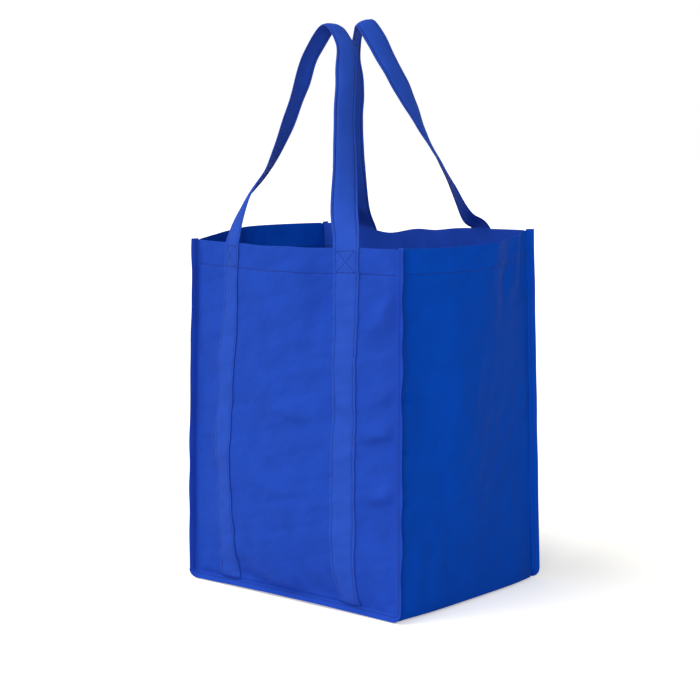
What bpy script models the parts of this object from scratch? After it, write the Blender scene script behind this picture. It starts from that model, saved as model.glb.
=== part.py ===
"""A non-woven shopping bag with two strap handles.

Metres, with +Z up. The origin is on the floor, under the middle of the bag. The front panel
faces -Y, the back panel +Y, and one gusset strip makes both sides and the base between them.
The panels are sewn to the gusset with the seam turned outwards, which leaves a narrow fin down
each corner and along the two long edges of the base. The rim is hemmed to the inside. Each
handle is one long strap, sewn up its panel, looped over the mouth and sewn down again.
"""

import math

import bmesh
import bpy
from mathutils import Vector

# The base is measured from seam to seam, and the height from the floor to the front rim
BASE_WIDTH = 0.315
BASE_DEPTH = 0.245
HEIGHT = 0.400

# The mouth: its corners draw in, its four sides bow out, and its back stands higher
WIDTH_DRAW_IN = 0.0015
DEPTH_DRAW_IN = 0.0105
BACK_RISE = 0.010
PANEL_BOW = 0.031
SIDE_BOW = 0.034

# Shares and exponents of the curves: how sharply the panels draw in to their base seams, where
# the back panel starts to flatten and by how much, and how the sides fold towards the rim
PANEL_TUCK = 10
BACK_FLATTENS_FROM = 0.6
BACK_RIM_FLATTER = 0.016
SIDE_FADE = 2
RIDGE_SOFTNESS = 0.15
BASE_EASES_OUT_AT = 0.17

# Cloth
SHEET = 0.0005
STRAP_THICKNESS = 0.0012
CLEARANCE = 0.0004

# Seams and hem. The hems stop short of the corners, and the strip turns away from each seam
# within this share of half its width
CORNER_RADIUS = 0.004
FIN_WIDTH = 0.009
FIN_ABOVE_RIM = 0.002
SIDE_FIN_TURN = math.radians(45)
BASE_FIN_TURN = math.radians(30)
HEM_DEPTH = 0.030
HEM_GAP = 0.0004
HEM_END = 0.007
SEAM_ROLL = 0.09

# Straps, with the distance between the middles of the two legs of a handle
STRAP_WIDTH = 0.030
STRAP_SPACING = 0.180
STRAP_ABOVE_RIM = 0.001
TWIST_SHARPNESS = 3.5
TILT_SHARPNESS = 6

# The front loop: its top, and how it leaves the rim and reaches the top
FRONT_LOOP_RISE = 0.245
FRONT_LOOP_FROM_MIDDLE = 0.041
FRONT_LEG_UP = 0.127
FRONT_LEG_INWARD = 0.057
FRONT_LEG_LEAN = 0.072
FRONT_TOP_REACH = 0.038
FRONT_TOP_TILT = math.radians(7)

# The back loop leans past the middle of the bag and stands a little higher
BACK_LOOP_RISE = 0.239
BACK_LOOP_FROM_MIDDLE = 0.010
BACK_LEG_UP = 0.040
BACK_LEG_INWARD = 0.010
BACK_LEG_LEAN = 0.063
BACK_TOP_REACH = 0.023
BACK_TOP_TILT = math.radians(24)

# How finely the curved sheets are divided
SIDE_ROWS = 9
CORNER_ROWS = 5
LOOP_STEPS = 12
ROW_CROWDING = 1.6
ROLL_STEPS = 3
STRIP_PLACES = (0.15, 0.45)
NORMAL_STEP = 0.001

PANEL_COLOUR = (0.022, 0.075, 0.50, 1.0)
GUSSET_COLOUR = (0.020, 0.070, 0.47, 1.0)
STRAP_COLOUR = (0.026, 0.085, 0.54, 1.0)

FRONT = -1
BACK = 1

# Two layers meet in each fin, so the gusset's layer lies this far from the panel's
LAYER_STEP = SHEET + CLEARANCE
SEAM_HEIGHT = (
    FIN_WIDTH * math.cos(BASE_FIN_TURN) + LAYER_STEP * math.sin(BASE_FIN_TURN) + SHEET
)
BASE_DROP = SEAM_HEIGHT - LAYER_STEP * math.sin(BASE_FIN_TURN) - SHEET / 2
FOLD_RADIUS = (SHEET + HEM_GAP) / 2
PANEL_HEIGHT = HEIGHT - SHEET / 2 - FOLD_RADIUS - SEAM_HEIGHT
HALF_BASE = BASE_WIDTH / 2
STRAP_X = STRAP_SPACING / 2
STRAP_EDGES = (STRAP_X - STRAP_WIDTH / 2, STRAP_X, STRAP_X + STRAP_WIDTH / 2)


def smoothstep(value):
    value = min(max(value, 0.0), 1.0)
    return value * value * (3 - 2 * value)


def rows():
    """Heights up a panel from its base seam, 0, to its rim, 1."""
    found = []
    for step in range(CORNER_ROWS):
        angle = math.pi / 2 * (1 - step / CORNER_ROWS)
        found.append(CORNER_RADIUS * (1 - math.sin(angle)) / PANEL_HEIGHT)
    low = CORNER_RADIUS / PANEL_HEIGHT
    high = 1 - HEM_DEPTH / PANEL_HEIGHT
    for step in range(SIDE_ROWS + 1):
        found.append(low + (high - low) * (step / SIDE_ROWS) ** ROW_CROWDING)
    found.append(1.0)
    return found


def columns():
    """Places across a panel at its base, from the middle line to both seams."""
    inner = STRAP_EDGES[0]
    outer = STRAP_EDGES[2]
    hem_end = HALF_BASE - HEM_END
    right = [inner / 2, *STRAP_EDGES, (outer + hem_end) / 2, hem_end, HALF_BASE]
    return [-x for x in reversed(right)] + [0.0] + right


def corner_angle(row):
    """Direction in which the seam's outline faces: 0 on the sides, a quarter turn on the base."""
    above = row * PANEL_HEIGHT
    if above >= CORNER_RADIUS:
        return 0.0
    return math.asin((CORNER_RADIUS - above) / CORNER_RADIUS)


def half_width(row):
    rounding = CORNER_RADIUS * (1 - math.cos(corner_angle(row)))
    return HALF_BASE - WIDTH_DRAW_IN * row - rounding


def half_depth(row):
    return BASE_DEPTH / 2 - DEPTH_DRAW_IN * row


def height_at(row, side):
    rise = BACK_RISE if side == BACK else 0.0
    return SEAM_HEIGHT + row * (PANEL_HEIGHT + rise)


def bow_at(row, side):
    """How far the middle of a panel stands out from the line between its two seams."""
    bow = PANEL_BOW * (1 - (1 - row) ** PANEL_TUCK)
    if side == BACK:
        share = (row - BACK_FLATTENS_FROM) / (1 - BACK_FLATTENS_FROM)
        bow -= BACK_RIM_FLATTER * smoothstep(share)
    return bow


def panel_point(column, row, side):
    """The middle of the cloth. The columns between the straps' outer edges keep their place."""
    kept = STRAP_EDGES[2]
    x = column
    if abs(column) > kept:
        share = (abs(column) - kept) / (HALF_BASE - kept)
        x = math.copysign(kept + share * (half_width(row) - kept), column)
    bow = bow_at(row, side) * (1 - (x / half_width(row)) ** 2)
    return Vector((x, side * (half_depth(row) + bow), height_at(row, side)))


def panel_normal(column, row, side):
    """Outward direction of a panel at a point."""
    low = max(row - NORMAL_STEP, 0.0)
    across = panel_point(column + NORMAL_STEP, row, side) - panel_point(column, row, side)
    upward = panel_point(column, low + NORMAL_STEP, side) - panel_point(column, low, side)
    return -side * across.cross(upward).normalized()


def fin_frame(end, row, side):
    """Directions along a fin's width and across its two layers. end is -1 left, 1 right."""
    angle = corner_angle(row)
    turn = SIDE_FIN_TURN + (BASE_FIN_TURN - SIDE_FIN_TURN) * angle / (math.pi / 2)
    out = Vector((end * math.cos(angle), 0, -math.sin(angle)))
    away = Vector((0, side, 0))
    width = out * math.cos(turn) + away * math.sin(turn)
    layer = out * math.sin(turn) - away * math.cos(turn)
    return width, layer


def new_material(name, colour):
    material = bpy.data.materials.new(name)
    material.use_nodes = True
    shader = material.node_tree.nodes["Principled BSDF"]
    shader.inputs["Base Color"].default_value = colour
    shader.inputs["Roughness"].default_value = 0.75
    shader.inputs["Metallic"].default_value = 0.0
    return material


def from_middle(first, second):
    """Distance from the middle of the bag to the point halfway between two vertices."""
    return ((first.co + second.co) / 2 - Vector((0, 0, HEIGHT / 2))).length


class Sheet:
    """A cloth sheet, drawn as its middle surface and then given its thickness."""

    def __init__(self):
        self.mesh = bmesh.new()

    def line(self, points):
        return [self.mesh.verts.new(point) for point in points]

    def strip(self, first, second):
        """Faces between two lines of vertices of the same length.

        Each four-cornered face is split along the diagonal that stands further out, so layers
        that lie on each other are split alike and keep their gap.
        """
        for a, b, c, d in zip(first, first[1:], second[1:], second):
            if from_middle(a, c) >= from_middle(b, d):
                faces = ((a, b, c), (a, c, d))
            else:
                faces = ((a, b, d), (b, c, d))
            for face in faces:
                self.mesh.faces.new(face)

    def finish(self, name, thickness, colour):
        bmesh.ops.recalc_face_normals(self.mesh, faces=self.mesh.faces)
        data = bpy.data.meshes.new(name)
        self.mesh.to_mesh(data)
        self.mesh.free()
        data.materials.append(new_material(name + "_cloth", colour))
        sheet = bpy.data.objects.new(name, data)
        bpy.context.collection.objects.link(sheet)
        solid = sheet.modifiers.new("thickness", "SOLIDIFY")
        solid.thickness = thickness
        solid.offset = 0.0
        solid.use_even_offset = True
        data.shade_smooth()
        data.set_sharp_from_angle(angle=math.radians(35))
        return sheet


def fold_hem(sheet, outer_line, inward, hem_places):
    """Turns the cloth over along the rim and runs its inner layer down to behind hem_places."""
    up = Vector((0, 0, 1))
    places = [vertex.co.copy() for vertex in outer_line]
    crest = [p + (n + up) * FOLD_RADIUS for p, n in zip(places, inward)]
    inner = [p + n * FOLD_RADIUS * 2 for p, n in zip(places, inward)]
    lower = [p + n * FOLD_RADIUS * 2 for p, n in zip(hem_places, inward)]
    last = outer_line
    for points in (crest, inner, lower):
        line = sheet.line(points)
        sheet.strip(last, line)
        last = line


def make_panel(name, side):
    """Front or back panel, with its fin layer on three sides and its hem at the rim."""
    sheet = Sheet()
    across = columns()
    up = rows()
    lines = []
    for row in up:
        points = [panel_point(column, row, side) for column in across]
        if row == 1.0:
            points[0].z += FIN_ABOVE_RIM
            points[-1].z += FIN_ABOVE_RIM
        lines.append(sheet.line(points))
    for low, high in zip(lines, lines[1:]):
        sheet.strip(low, high)

    # The fin follows the outline down the left seam, along the base and up the right seam
    outline = [(line[0], -1, row) for line, row in zip(reversed(lines), reversed(up))]
    outline += [(vertex, 1, 0.0) for vertex in lines[0][1:-1]]
    outline += [(line[-1], 1, row) for line, row in zip(lines, up)]
    seam = [vertex for vertex, end, row in outline]
    edge = [
        vertex.co + fin_frame(end, row, side)[0] * FIN_WIDTH for vertex, end, row in outline
    ]
    sheet.strip(seam, sheet.line(edge))

    hemmed = across[1:-1]
    inward = [-panel_normal(column, 1.0, side) for column in hemmed]
    hem_row = up[-2]
    lower = [panel_point(column, hem_row, side) for column in hemmed]
    fold_hem(sheet, lines[-1][1:-1], inward, lower)
    return sheet.finish(name, SHEET, PANEL_COLOUR)


def gusset_stations():
    """Stations along the strip, from the left rim down, across the base and up to the right rim."""
    up = rows()
    inner = [x for x in columns() if abs(x) < HALF_BASE]
    left = [(-1, row, None) for row in reversed(up)]
    base = [(1, 0.0, x) for x in inner]
    right = [(1, row, None) for row in up]
    return left + base + right


def seam_point(station, side):
    end, row, base_column = station
    column = end * HALF_BASE if base_column is None else base_column
    return panel_point(column, row, side)


def gusset_places():
    """Places across the strip from the front seam, -1, to the back seam, 1."""
    roll = [1 - SEAM_ROLL * step / ROLL_STEPS for step in range(ROLL_STEPS, -1, -1)]
    right = [*STRIP_PLACES, *roll]
    return [-place for place in reversed(right)] + [0.0] + right


def side_ridge(place):
    """Plan shape of a bowed side: two nearly straight halves that meet in a soft ridge."""
    top = math.hypot(1.0, RIDGE_SOFTNESS)
    return (top - math.hypot(place, RIDGE_SOFTNESS)) / (top - RIDGE_SOFTNESS)


def side_inward(end, place):
    """Direction into the bag at a place along the rim of a bowed side."""
    top = math.hypot(1.0, RIDGE_SOFTNESS)
    slope = -place / math.hypot(place, RIDGE_SOFTNESS) / (top - RIDGE_SOFTNESS)
    along = Vector((end * SIDE_BOW * slope, half_depth(1.0), 0)).normalized()
    return Vector((-end * along.y, end * along.x, 0))


def gusset_point(station, place):
    """The strip runs from seam to seam. Its sides bow out, and its base comes down to the floor."""
    end, row, _ = station
    seams = [
        seam_point(station, side) + fin_frame(end, row, side)[1] * LAYER_STEP
        for side in (FRONT, BACK)
    ]
    point = seams[0].lerp(seams[1], (place + 1) / 2)
    point.x += end * SIDE_BOW * row**SIDE_FADE * side_ridge(place)
    near_seam = smoothstep((1 - abs(place)) / SEAM_ROLL)
    point.z -= BASE_DROP * near_seam * smoothstep(1 - row / BASE_EASES_OUT_AT)
    return point


def make_gusset(name):
    """One strip: left side, base and right side, with a fin layer along both of its edges."""
    sheet = Sheet()
    places = gusset_places()
    lines = []
    for station in gusset_stations():
        end, row, _ = station
        points = [gusset_point(station, place) for place in places]
        front = points[0] + fin_frame(end, row, FRONT)[0] * FIN_WIDTH
        back = points[-1] + fin_frame(end, row, BACK)[0] * FIN_WIDTH
        points = [front, *points, back]
        if row == 1.0:
            for corner in (0, 1, -2, -1):
                points[corner].z += FIN_ABOVE_RIM
        lines.append(sheet.line(points))
    for first, second in zip(lines, lines[1:]):
        sheet.strip(first, second)

    # A hem runs between the first places inside the two seams, past the fin and the seam itself
    hemmed = places[1:-1]
    hem_row = rows()[-2]
    for line, end in ((lines[0], -1), (lines[-1], 1)):
        inward = [side_inward(end, place) for place in hemmed]
        lower = [gusset_point((end, hem_row, None), place) for place in hemmed]
        fold_hem(sheet, line[2:-2], inward, lower)
    return sheet.finish(name, SHEET, GUSSET_COLOUR)


def loop_values(side):
    if side == FRONT:
        leg = Vector((FRONT_LEG_INWARD, FRONT_LEG_LEAN, FRONT_LEG_UP))
        top = Vector((0, -FRONT_LOOP_FROM_MIDDLE, HEIGHT + FRONT_LOOP_RISE))
        return leg, top, FRONT_TOP_REACH, FRONT_TOP_TILT
    leg = Vector((BACK_LEG_INWARD, BACK_LEG_LEAN, BACK_LEG_UP))
    top = Vector((0, BACK_LOOP_FROM_MIDDLE, HEIGHT + BACK_RISE + BACK_LOOP_RISE))
    return leg, top, BACK_TOP_REACH, BACK_TOP_TILT


def loop_leg(root, end, side, turn):
    """Edges and middle of one leg of a loop, from above the rim to the top of the loop.

    The strap leaves the rim lying flat along the panel, at the angle turn, and twists until
    its width runs from front to back at the top of the loop.
    """
    quarter = math.pi / 2
    leg, top, reach, tilt = loop_values(side)
    first = root + Vector((-end * leg.x, -side * leg.y, leg.z))
    second = top + Vector((end * reach, 0, 0))
    depth = Vector((0, -side, 0))
    lines = []
    for step in range(1, LOOP_STEPS + 1):
        t = step / LOOP_STEPS
        s = 1 - t
        middle = root * s**3 + first * 3 * s * s * t + second * 3 * s * t * t + top * t**3
        along = (first - root) * s * s + (second - first) * 2 * s * t + (top - second) * t * t
        along.normalize()
        deep = (depth - along * along.dot(depth)).normalized()
        outward = deep.cross(along) * -side * end
        angle = quarter - (quarter - turn) * s**TWIST_SHARPNESS + tilt * t**TILT_SHARPNESS
        half = (outward * math.cos(angle) + deep * math.sin(angle)) * (STRAP_WIDTH / 2)
        lines.append((middle - half, middle, middle + half))
    return lines


def sewn_leg(end, side):
    """Inner edge, middle and outer edge of a strap up its panel. Its last line is at the rim."""
    away = (SHEET + STRAP_THICKNESS) / 2 + CLEARANCE
    lines = []
    for row in rows()[1:]:
        columns_here = [end * x for x in STRAP_EDGES]
        lines.append(
            [panel_point(x, row, side) + panel_normal(x, row, side) * away for x in columns_here]
        )
    lift = HEIGHT + STRAP_ABOVE_RIM - height_at(1.0, FRONT)
    for point in lines[-1]:
        point.z += lift
    return lines


def strap_leg(end, side):
    """One half of a handle, from the base seam to the top of its loop."""
    sewn = sewn_leg(end, side)
    inner, root, outer = sewn[-1]
    turn = math.atan2(abs(outer.y - inner.y), abs(outer.x - inner.x))
    return sewn + loop_leg(root, end, side, turn)


def make_handle(name, side):
    """One strap: up the left of its panel, over the mouth and down the right of its panel."""
    sheet = Sheet()
    stations = strap_leg(-1, side) + strap_leg(1, side)[-2::-1]
    lines = [sheet.line(station) for station in stations]
    for first, second in zip(lines, lines[1:]):
        sheet.strip(first, second)
    return sheet.finish(name, STRAP_THICKNESS, STRAP_COLOUR)


for old in list(bpy.data.objects):
    bpy.data.objects.remove(old, do_unlink=True)

make_panel("front_panel", FRONT)
make_panel("back_panel", BACK)
make_gusset("gusset")
make_handle("front_handle", FRONT)
make_handle("back_handle", BACK)
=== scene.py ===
"""The looks of a non-woven shopping bag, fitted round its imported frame.

Metres, with +Z up. The front panel faces -Y. Each sheet of cloth is a fine grid along its middle
surface, moved by its bow, folds, ripples and puckers, and a modifier gives it its thickness. The
handles are solid straps, and every seam has its thread.
"""
import math

import bmesh
import bpy
import numpy as np
from mathutils import Matrix, Vector


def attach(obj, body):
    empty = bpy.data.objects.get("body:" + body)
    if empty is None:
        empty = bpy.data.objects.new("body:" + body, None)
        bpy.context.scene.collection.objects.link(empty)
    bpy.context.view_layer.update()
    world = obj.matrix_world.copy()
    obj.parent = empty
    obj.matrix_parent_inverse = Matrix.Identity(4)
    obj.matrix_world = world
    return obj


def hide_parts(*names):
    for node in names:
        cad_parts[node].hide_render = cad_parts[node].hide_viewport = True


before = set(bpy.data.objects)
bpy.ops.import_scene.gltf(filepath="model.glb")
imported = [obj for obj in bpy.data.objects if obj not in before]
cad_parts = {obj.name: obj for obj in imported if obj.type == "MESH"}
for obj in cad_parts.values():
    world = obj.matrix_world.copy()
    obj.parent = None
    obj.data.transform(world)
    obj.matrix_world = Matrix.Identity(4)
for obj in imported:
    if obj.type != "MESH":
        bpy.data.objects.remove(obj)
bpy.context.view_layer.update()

FRONT = -1
BACK = 1
LEFT = -1
RIGHT = 1

# The bag from seam to seam, and how its panels and sides draw in and bow out
BASE_WIDTH = 0.315
BASE_DEPTH = 0.245
HEIGHT = 0.400
WIDTH_DRAW_IN = 0.0015
DEPTH_DRAW_IN = 0.0105
PANEL_BOW = 0.031
SIDE_BOW = {LEFT: 0.037, RIGHT: 0.033}
BASE_BULGE = 0.007
PANEL_TUCK = 10
BACK_FLATTENS_FROM = 0.6
BACK_RIM_FLATTER = 0.016
RIDGE_SOFTNESS = 0.15
RIDGE_SHIFT = 0.12
SIDE_BOW_GROWTH = 1.4
SIDE_RIM_RISE = {LEFT: 0.0035, RIGHT: -0.0042}
BASE_EASES_OUT_AT = 0.17
BASE_SEAM_FOLD = 0.030

# The front panel bows less here: by what share at the rim, place across it and reach
FRONT_FLATTER = (0.40, -0.62, 0.33)

# Rims: rise of the front one, its slant to the left and its wave as height and size, and rise of
# the back one, its dips as depth, place and reach, and the lift of its left end, its start and reach
FRONT_RIM_RISE = 0.0008
FRONT_RIM_SLANT = 0.0015
FRONT_RIM_WAVE = (0.0004, 0.013)
BACK_RIM_RISE = 0.0105
BACK_RIM_DIPS = ((0.0085, -0.058, 0.034), (0.0035, 0.012, 0.026))
BACK_RIM_LIFT = (0.0022, 0.11, 0.04)
FRONT_BASE_ARCH = 0.0016

# Folds fade out this near a panel's seams and base, and this near a side's, the first as a share
PANEL_FADE = (0.012, 0.010)
SIDE_FADE = (0.10, 0.02)

# Cloth, seams and hem. A groove has a depth and a reach, a pucker a height and a size, and a wave
# or ripple a height, a size and a random seed
SHEET = 0.0005
LAYER_GAP = 0.0002
CORNER_RADIUS = 0.004
FIN_WIDTH = 0.009
FIN_ABOVE_RIM = 0.002
BASE_FIN_TURN = math.radians(30)
HEM_DEPTH = 0.0305
HEM_STITCH = 0.0270
HEM_GAP = 0.0003
HEM_END = 0.0035
HEM_GROOVE = (0.00035, 0.0011)
HEM_PUCKER = (0.00016, 0.0013)
HEM_STITCHED = 0.985
FIN_STITCH = 0.0030
FIN_WAVE = (0.0009, 0.055, 17)

# How many degrees each upright fin turns forwards or backwards out of its panel's line, and how far
# its seam stands from the plain corner at the base, at mid height and at the rim
FIN_TURN = {(LEFT, FRONT): 80, (RIGHT, FRONT): 22, (LEFT, BACK): 80, (RIGHT, BACK): 45}
SEAM_SHIFT = {
    (LEFT, FRONT): (0, -0.002, 0.004), (RIGHT, FRONT): (-0.004, -0.005, -0.005),
    (LEFT, BACK): (0, 0, 0), (RIGHT, BACK): (0, 0, 0),
}

# Straps. Their faces swell by a share between the stitches and sink in along them
STRAP_WIDTH = 0.030
STRAP_THICKNESS = 0.0012
STRAP_CLEARANCE = 0.0004
STITCH_INSET = 0.003
STITCH_GROOVE = (0.00065, 0.0008)
STRAP_SWELL = (0.6, 0.005)
STRAP_ROUNDING = 0.0006
STRAP_CURL = 0.0022
STRAP_WAVE = (0.0006, 0.035, 55)
STRAP_RIPPLE = (0.0004, 0.030, 61)
STRAP_JOIN = 0.028
BOX_HEIGHT = 0.0225
BOX_HALF_WIDTH = 0.0108
BOX_TOP = 0.0035

# Where the strap's profile has its points, as shares of its half width, closest at the stitches
STRAP_PROFILE = (0.0, 0.25, 0.5, 0.68, 0.74, 0.775, 0.80, 0.825, 0.86, 0.91, 0.96, 0.99, 1.0)

# Middle lines of the front strap's two legs: heights up the panel, 0 to 1, and places across it
STRAP_LINES = {
    LEFT: ((0.0, 0.06, 0.13, 0.25, 0.48, 0.65, 0.80, 1.0),
           (-0.0985, -0.0930, -0.0895, -0.0900, -0.0890, -0.0860, -0.0815, -0.0795)),
    RIGHT: ((0.0, 0.08, 0.20, 0.38, 0.70, 1.0),
            (0.0880, 0.0895, 0.0908, 0.0908, 0.0930, 0.0928)),
}

# The back strap's legs: place at the base seam, either side, and at the rim
BACK_STRAP_FOOT = 0.090
BACK_STRAP_RIM = {LEFT: -0.0938, RIGHT: 0.0838}

# Wrinkles across the front strap's legs: height, slant and depth of each
STRAP_WRINKLES = {
    LEFT: ((0.300, 0.2, 0.0005), (0.150, -0.3, 0.0007), (0.095, 0.2, 0.0005)),
    RIGHT: ((0.240, 0.1, 0.0008), (0.222, 0.2, 0.0006), (0.196, -0.7, 0.0009),
            (0.166, 0.5, 0.0010), (0.146, 0.3, 0.0008), (0.112, 0.4, 0.0010),
            (0.076, 0.1, 0.0006), (0.296, 0.3, 0.0004)),
}
WRINKLE_REACH = 0.0042

# Loops: middle line of each leg from the rim to the top, and how far the strap has turned there
LEGS = {
    (LEFT, FRONT): (
        (-0.0740, -0.1115, 0.4481, 39), (-0.0656, -0.0834, 0.4850, 58),
        (-0.0551, -0.0651, 0.5281, 75), (-0.0426, -0.0540, 0.5742, 82),
        (-0.0297, -0.0464, 0.6146, 88),
    ),
    (RIGHT, FRONT): (
        (0.0761, -0.1129, 0.4372, 48), (0.0612, -0.0929, 0.4829, 71),
        (0.0459, -0.0748, 0.5356, 82), (0.0337, -0.0571, 0.5847, 85),
        (0.0209, -0.0425, 0.6212, 90),
    ),
    (LEFT, BACK): (
        (-0.0862, 0.0985, 0.4350, 25), (-0.0718, 0.0735, 0.4782, 57),
        (-0.0558, 0.0542, 0.5280, 86), (-0.0364, 0.0385, 0.5772, 102),
        (-0.0240, 0.0218, 0.6180, 112),
    ),
    (RIGHT, BACK): (
        (0.0752, 0.1075, 0.4265, 27), (0.0622, 0.0938, 0.4654, 43),
        (0.0512, 0.0678, 0.5116, 56), (0.0405, 0.0465, 0.5574, 84),
        (0.0288, 0.0270, 0.5982, 100),
    ),
}
TOPS = {FRONT: (-0.004, -0.0396, 0.6446, 90), BACK: (0.0, 0.0112, 0.6506, 109)}

# Stitches, and the rings of points that make one: place along it, size, and height over the cloth
THREAD = 0.00036
STITCH = 0.0026
STITCH_PITCH = 0.0033
THREAD_SIDES = 6
THREAD_RINGS = (
    (-1.0, 0.35, -0.8), (-0.7, 0.9, -0.1), (0.0, 1.0, 0.25), (0.7, 0.9, -0.1), (1.0, 0.35, -0.8),
)

# Grid steps and counts
STEP = 0.0026
GUSSET_STEP = 0.0034
SEAM_STEP = 0.0009
CORNER_ROWS = 6
FOLD_ROWS = 4
FIN_COLUMNS = 4
STRAP_STEP = 0.0028
LOOP_POINTS = 900

# Colours, linear. All the cloth is one blue. The panels' extra red, and the straps' extra red and
# lightness, are painted highlight for where the front light falls; the sides' colour has none of it
PANEL_COLOUR_WITH_PAINTED_HIGHLIGHT = (0.0180, 0.074, 0.500)
GUSSET_COLOUR = (0.0015, 0.069, 0.505)
STRAP_COLOUR_WITH_PAINTED_HIGHLIGHT = (0.0260, 0.090, 0.540)
# The thread is much darker than the cloth: painted shade, for the shadow in the stitch grooves
THREAD_COLOUR_WITH_PAINTED_SHADE = (0.0015, 0.013, 0.120)
CLOTH_UNEVEN = 0.15
THREAD_UNEVEN = 0.3
WHITE = (1, 1, 1, 1)

# Patterns of the materials: how often each repeats in a metre, and the fibres' share of the relief
DENT_LATTICE = (720, 720, 720)
FIBRE_STRETCH = (900, 260, 1)
FIBRE_SHARE = 0.45
CLOUD_SCALE = 38.0
PLY_SCALE = 2600.0

# Camera, where the photograph was taken from. Its angles are in radians, the yaw from +Y
CAMERA_PLACE = (1.2559, -1.4574, 0.5070)
CAMERA_YAW = -0.7178
CAMERA_PITCH = -0.1215
CAMERA_ROLL = -0.0120
FOCAL_PIXELS = 1659.09
IMAGE_PIXELS = 700
SENSOR = 36.0

# Light. Each lamp has its azimuth and elevation in degrees, its strength and its softness. Where the
# floor is seen directly, its paint is lifted to white, with a share of plain glow
LAMPS = {"left": (-32, 54, 1.56, 44), "right": (34, 18, 1.20, 30)}
WORLD_STRENGTH = 0.26
FLOOR_HALF = 30.0
FLOOR_LEVEL = -0.0004
FLOOR_PAINT = (0.80, 0.80, 0.80, 1)
FLOOR_LIFT = (2.00, 1.97, 1.80, 1)
FLOOR_GLOW = 1.03
FLOOR_GLOW_SHARE = 0.38

# Worked out from the values above
LAYER_STEP = SHEET + LAYER_GAP
SEAM_HEIGHT = FIN_WIDTH * math.cos(BASE_FIN_TURN) + LAYER_STEP * math.sin(BASE_FIN_TURN) + SHEET
FOLD_RADIUS = (SHEET + HEM_GAP) / 2
PANEL_HEIGHT = HEIGHT - SHEET / 2 - FOLD_RADIUS - SEAM_HEIGHT
HALF_BASE = BASE_WIDTH / 2
HEM_LINE = PANEL_HEIGHT - HEM_STITCH
HEM_LINE_ROW = 1 - HEM_STITCH / PANEL_HEIGHT
HEM_ROWS = np.linspace(1.0, 1 - HEM_DEPTH / PANEL_HEIGHT, 13)
RIM = PANEL_HEIGHT


def smooth(value):
    """Goes from 0 to 1 as the value does, level at both ends."""
    value = np.clip(value, 0.0, 1.0)
    return value * value * (3 - 2 * value)


def bell(value, width):
    """1 at 0, and near 0 from two widths on."""
    return np.exp(-((value / width) ** 2))


def spaced(low, high, step):
    """Places from low to high, evenly and at most step apart, without the last."""
    count = max(1, math.ceil((high - low) / step))
    return [low + (high - low) * i / count for i in range(count)]


def unit(vectors):
    return vectors / np.linalg.norm(vectors, axis=-1, keepdims=True)


def lengths_along(points):
    """Length of a line of points from its first point to each of them."""
    steps = np.linalg.norm(np.diff(points, axis=0), axis=1)
    return np.concatenate([[0.0], np.cumsum(steps)])


def sampled(at, stations, values):
    """Rows of values that belong to rising stations, read off at other places between them."""
    return np.stack([np.interp(at, stations, column) for column in values.T], axis=-1)


def mirrored(places):
    """Places from 0 upwards, with their mirror images in front of them."""
    return np.concatenate([-places[:0:-1], places])


def ripples(u, v, size, seed, count=7):
    """A smooth uneven field, mostly between -1 and 1, with swells about size apart."""
    rng = np.random.default_rng(seed)
    total = 0.0
    for _ in range(count):
        angle, phase = rng.uniform(0, 2 * math.pi, 2)
        wave = 2 * math.pi / (size * rng.uniform(0.7, 1.6))
        total = total + np.sin(wave * (u * math.cos(angle) + v * math.sin(angle)) + phase)
    return total / math.sqrt(count)


def fold(u, v, points, depth, left_width, right_width):
    """A soft ridge, or a furrow if depth is negative, along an open line of points.

    It fades out towards both ends. The widths are those of its flanks, as seen along the line.
    """
    nearest = np.full(np.shape(u), np.inf)
    signed = share = np.zeros(np.shape(u))
    for i, (a, b) in enumerate(zip(points, points[1:])):
        du, dv = b[0] - a[0], b[1] - a[1]
        long = du * du + dv * dv
        t = np.clip(((u - a[0]) * du + (v - a[1]) * dv) / long, 0, 1)
        off_u, off_v = u - a[0] - t * du, v - a[1] - t * dv
        distance = np.hypot(off_u, off_v)
        closer = distance < nearest
        side = np.sign(du * off_v - dv * off_u)
        nearest = np.where(closer, distance, nearest)
        signed = np.where(closer, side * distance, signed)
        share = np.where(closer, (i + t) / (len(points) - 1), share)
    flank = np.where(signed >= 0, left_width, right_width)
    return depth * bell(signed, flank) * np.sin(math.pi * (0.06 + 0.88 * share))


def rippled(u, v, table):
    """The sum of the ripples in a table, at places u across the cloth and heights v up it."""
    out = 0.0
    for height, squash, size, seed in table:
        out = out + height * ripples(u, v * squash, size, seed)
    return out


def folded(u, v, out, table):
    """Adds the folds in a table to how far the cloth stands out."""
    for crease in table:
        out = out + fold(u, v, *crease)
    return out


def level_crease(height, depth, reach):
    """A level fold where the front panel creases against the near seam, sharp below."""
    line = ((0.161, height + 0.002), (0.157 - reach / 2, height), (0.157 - reach, height - 0.007))
    return line, depth, 0.0050, 0.013


def base_pucker(place, height, depth):
    """A furrow that rises from the base seam of the front panel."""
    line = ((place - 0.002, -0.004), (place + 0.002, height / 2), (place + 0.008, height))
    return line, -depth, 0.0038, 0.0038


def rim_furrow(place, depth):
    """A furrow that falls from the rim of the back panel."""
    line = ((place, RIM + 0.01), (place + 0.004, RIM - 0.04), (place - 0.002, RIM - 0.10))
    return line, -depth, 0.008, 0.008


def side_arc(height, reach):
    """A furrow that runs into the right side from its near seam."""
    line = ((-0.124, height), (reach / 2 - 0.118, height - 0.001), (reach - 0.118, height + 0.003))
    return line, -0.0034, 0.0060, 0.0035


# Ripples: height, how far they are drawn out upwards, size and random seed
FRONT_RIPPLES = ((0.0013, 0.6, 0.085, 3), (0.00045, 1, 0.034, 8), (0.00016, 1, 0.012, 9))
BACK_RIPPLES = ((0.0009, 0.6, 0.080, 5), (0.0003, 1, 0.032, 11))
SIDE_RIPPLES = {
    LEFT: ((0.0014, 0.6, 0.090, 30), (0.0006, 1, 0.035, 39), (0.00015, 1, 0.012, 44)),
    RIGHT: ((0.0014, 0.6, 0.090, 32), (0.0006, 1, 0.035, 41), (0.00015, 1, 0.012, 46)),
}

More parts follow.
